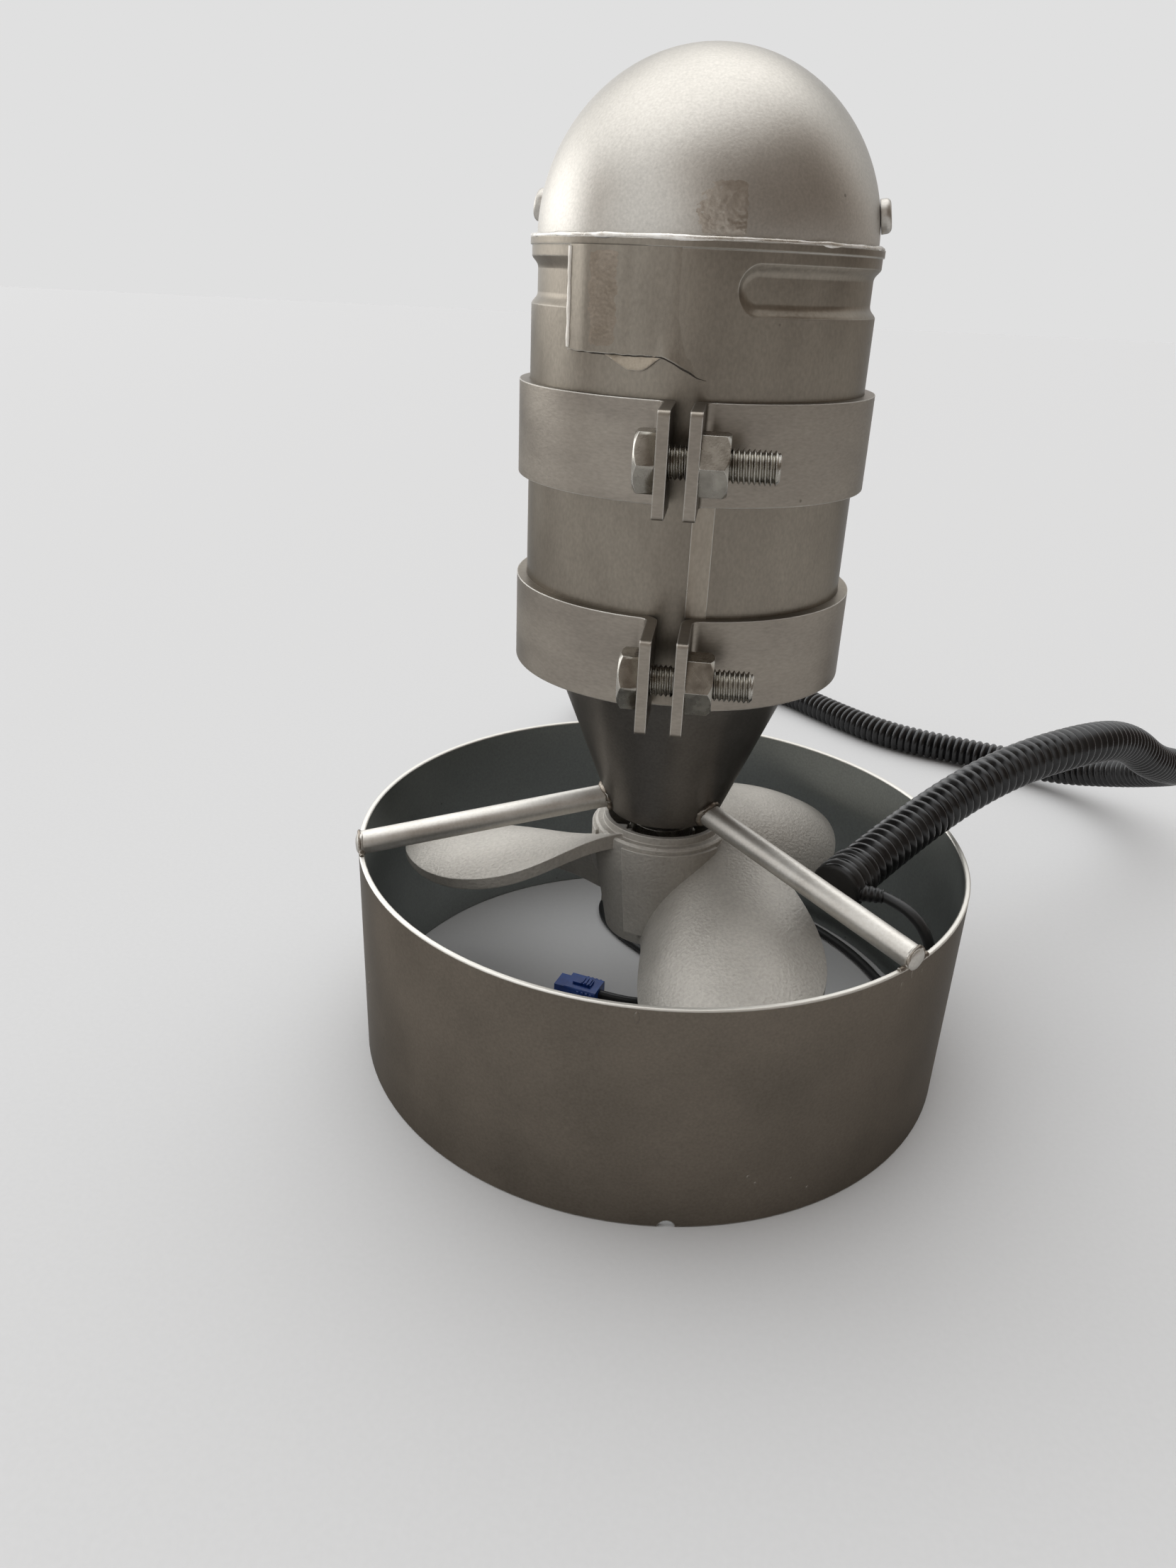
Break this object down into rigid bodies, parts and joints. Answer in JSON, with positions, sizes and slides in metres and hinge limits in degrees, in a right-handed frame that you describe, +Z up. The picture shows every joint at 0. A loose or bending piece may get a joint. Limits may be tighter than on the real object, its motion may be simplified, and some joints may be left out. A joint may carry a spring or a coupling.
{
  "type": "underwater thruster",
  "caption": "Sealed electric motor pod held upright by struts over a short duct ring, with a cast propeller inside the ring and a corrugated cable conduit.",
  "frame": {"origin": "centre of the duct ring's lower edge, on the propeller's axis", "axes": "+Z up along the shaft from the ring to the nose dome; the clamp ears and their bolts point along -Y, the cable gland along +Y"},
  "size_m": [0.401, 0.5586, 0.3569],
  "materials": {
    "silver_paint": "satin aluminium paint over steel",
    "dome_paint": "satin aluminium paint over spun steel",
    "propeller_paint": "satin aluminium paint over cast aluminium",
    "zinc_steel": "zinc plated steel",
    "bright_steel": "ground steel",
    "turned_aluminium": "turned",
    "electrical_steel": "stacked laminations",
    "black_rubber": "moulded rubber",
    "black_nylon": "moulded nylon",
    "magnet_plating": "nickel plated magnet",
    "copper_wire": "enamelled copper wire",
    "lead_insulation": "silicone insulation",
    "board_laminate": "glass-epoxy laminate",
    "conduit_plastic": "corrugated nylon conduit",
    "lead_jacket": "jacketed lead",
    "blue_plastic": "moulded plastic"
  },
  "bodies": {
    "housing": {"duct_ring": "silver_paint", "strut_rear": "silver_paint", "strut_left": "silver_paint", "strut_right": "silver_paint", "tail_cone": "silver_paint", "pod_can": "silver_paint", "doubler_sheet": "silver_paint", "can_seam_strip": "silver_paint", "upper_clamp_band": "silver_paint", "lower_clamp_band": "silver_paint", "nose_dome": "dome_paint", "dome_screws": "dome_paint", "upper_clamp_bolt": "zinc_steel", "upper_clamp_nut": "zinc_steel", "lower_clamp_bolt": "zinc_steel", "lower_clamp_nut": "zinc_steel", "tie_screws": "zinc_steel", "bearing_outer_races": "bright_steel", "bearing_balls": "bright_steel", "joint_ring": "turned_aluminium", "seal_carrier": "turned_aluminium", "lower_end_plate": "turned_aluminium", "upper_end_plate": "turned_aluminium", "stator_core": "electrical_steel", "dome_seal": "black_rubber", "shaft_seals": "black_rubber", "gland_seal": "black_rubber", "conduit_boot": "black_rubber", "cable_gland": "black_nylon", "gland_nut": "black_nylon", "stator_windings": "copper_wire", "phase_leads": "lead_insulation", "sensor_board": "board_laminate", "conduit": "conduit_plastic", "sensor_lead": "lead_jacket", "lead_connector": "blue_plastic"},
    "rotor": {"propeller": "propeller_paint", "hub_bush": "black_rubber", "bush_sleeve": "bright_steel", "drive_pin": "bright_steel", "thrust_washer": "zinc_steel", "prop_washer": "zinc_steel", "prop_nut": "zinc_steel", "split_pin": "zinc_steel", "propeller_shaft": "bright_steel", "rotor_core": "electrical_steel", "rotor_magnets": "magnet_plating", "bearing_inner_races": "bright_steel"}
  },
  "joints": [
    {"name": "propeller_spin", "type": "hinge", "parent": "housing", "child": "rotor", "pos_m": [0, 0, 0.07], "axis": [0, 0, 1], "continuous": true}
  ]
}
